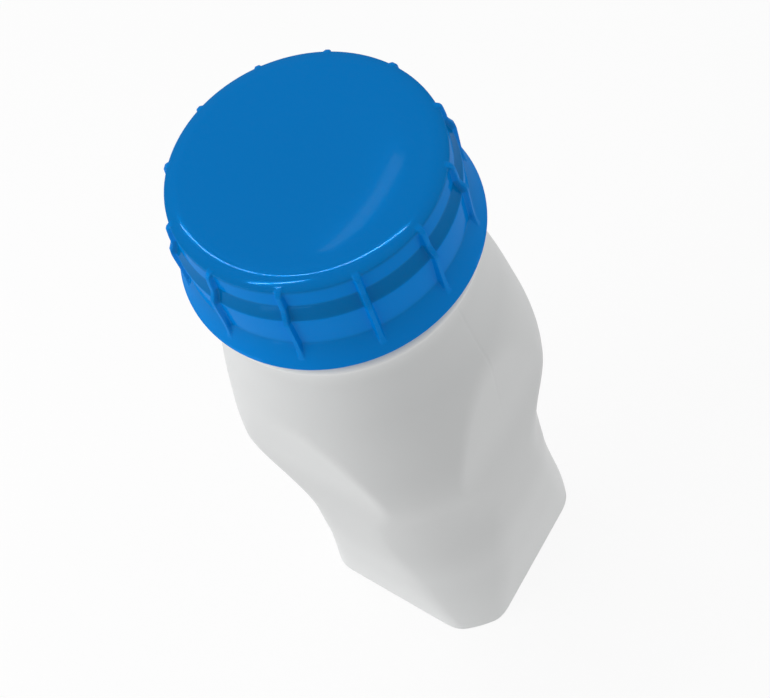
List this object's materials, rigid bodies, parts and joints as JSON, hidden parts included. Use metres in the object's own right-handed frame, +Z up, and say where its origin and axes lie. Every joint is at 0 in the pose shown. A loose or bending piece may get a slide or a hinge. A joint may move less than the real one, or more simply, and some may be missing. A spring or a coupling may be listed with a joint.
{
  "type": "urine bottle",
  "caption": "Wide-neck collection bottle with a clipped-square grip body, round shoulder, support bead and ribbed blue screw cap with a flared skirt",
  "frame": {"origin": "middle of the foot, on the surface it stands on", "axes": "+Z up through the neck; +X and +Y out of two of the four flat faces; the mould parting line lies in the XZ plane"},
  "size_m": [0.0992, 0.0992, 0.298],
  "materials": {
    "body": "satin white polyethylene",
    "cap": "glossy blue polypropylene",
    "seal": "soft white foam"
  },
  "bodies": {
    "bottle": {"bottle_body": "body"},
    "seal": {"sealing_disc": "seal"},
    "cap": {"screw_cap": "cap"}
  },
  "joints": [
    {"name": "seal_lift", "type": "slide", "parent": "bottle", "child": "seal", "axis": [0, 0, 1], "range_m": [0, 0.036]},
    {"name": "cap_turn", "type": "hinge", "parent": "seal", "child": "cap", "pos_m": [0, 0, 0.281], "axis": [0, 0, 1], "range_deg": [0, 1620]}
  ],
  "couplings": [
    {"joint": "seal_lift", "follows": "cap_turn", "m_per_rad": 0.0012732}
  ]
}
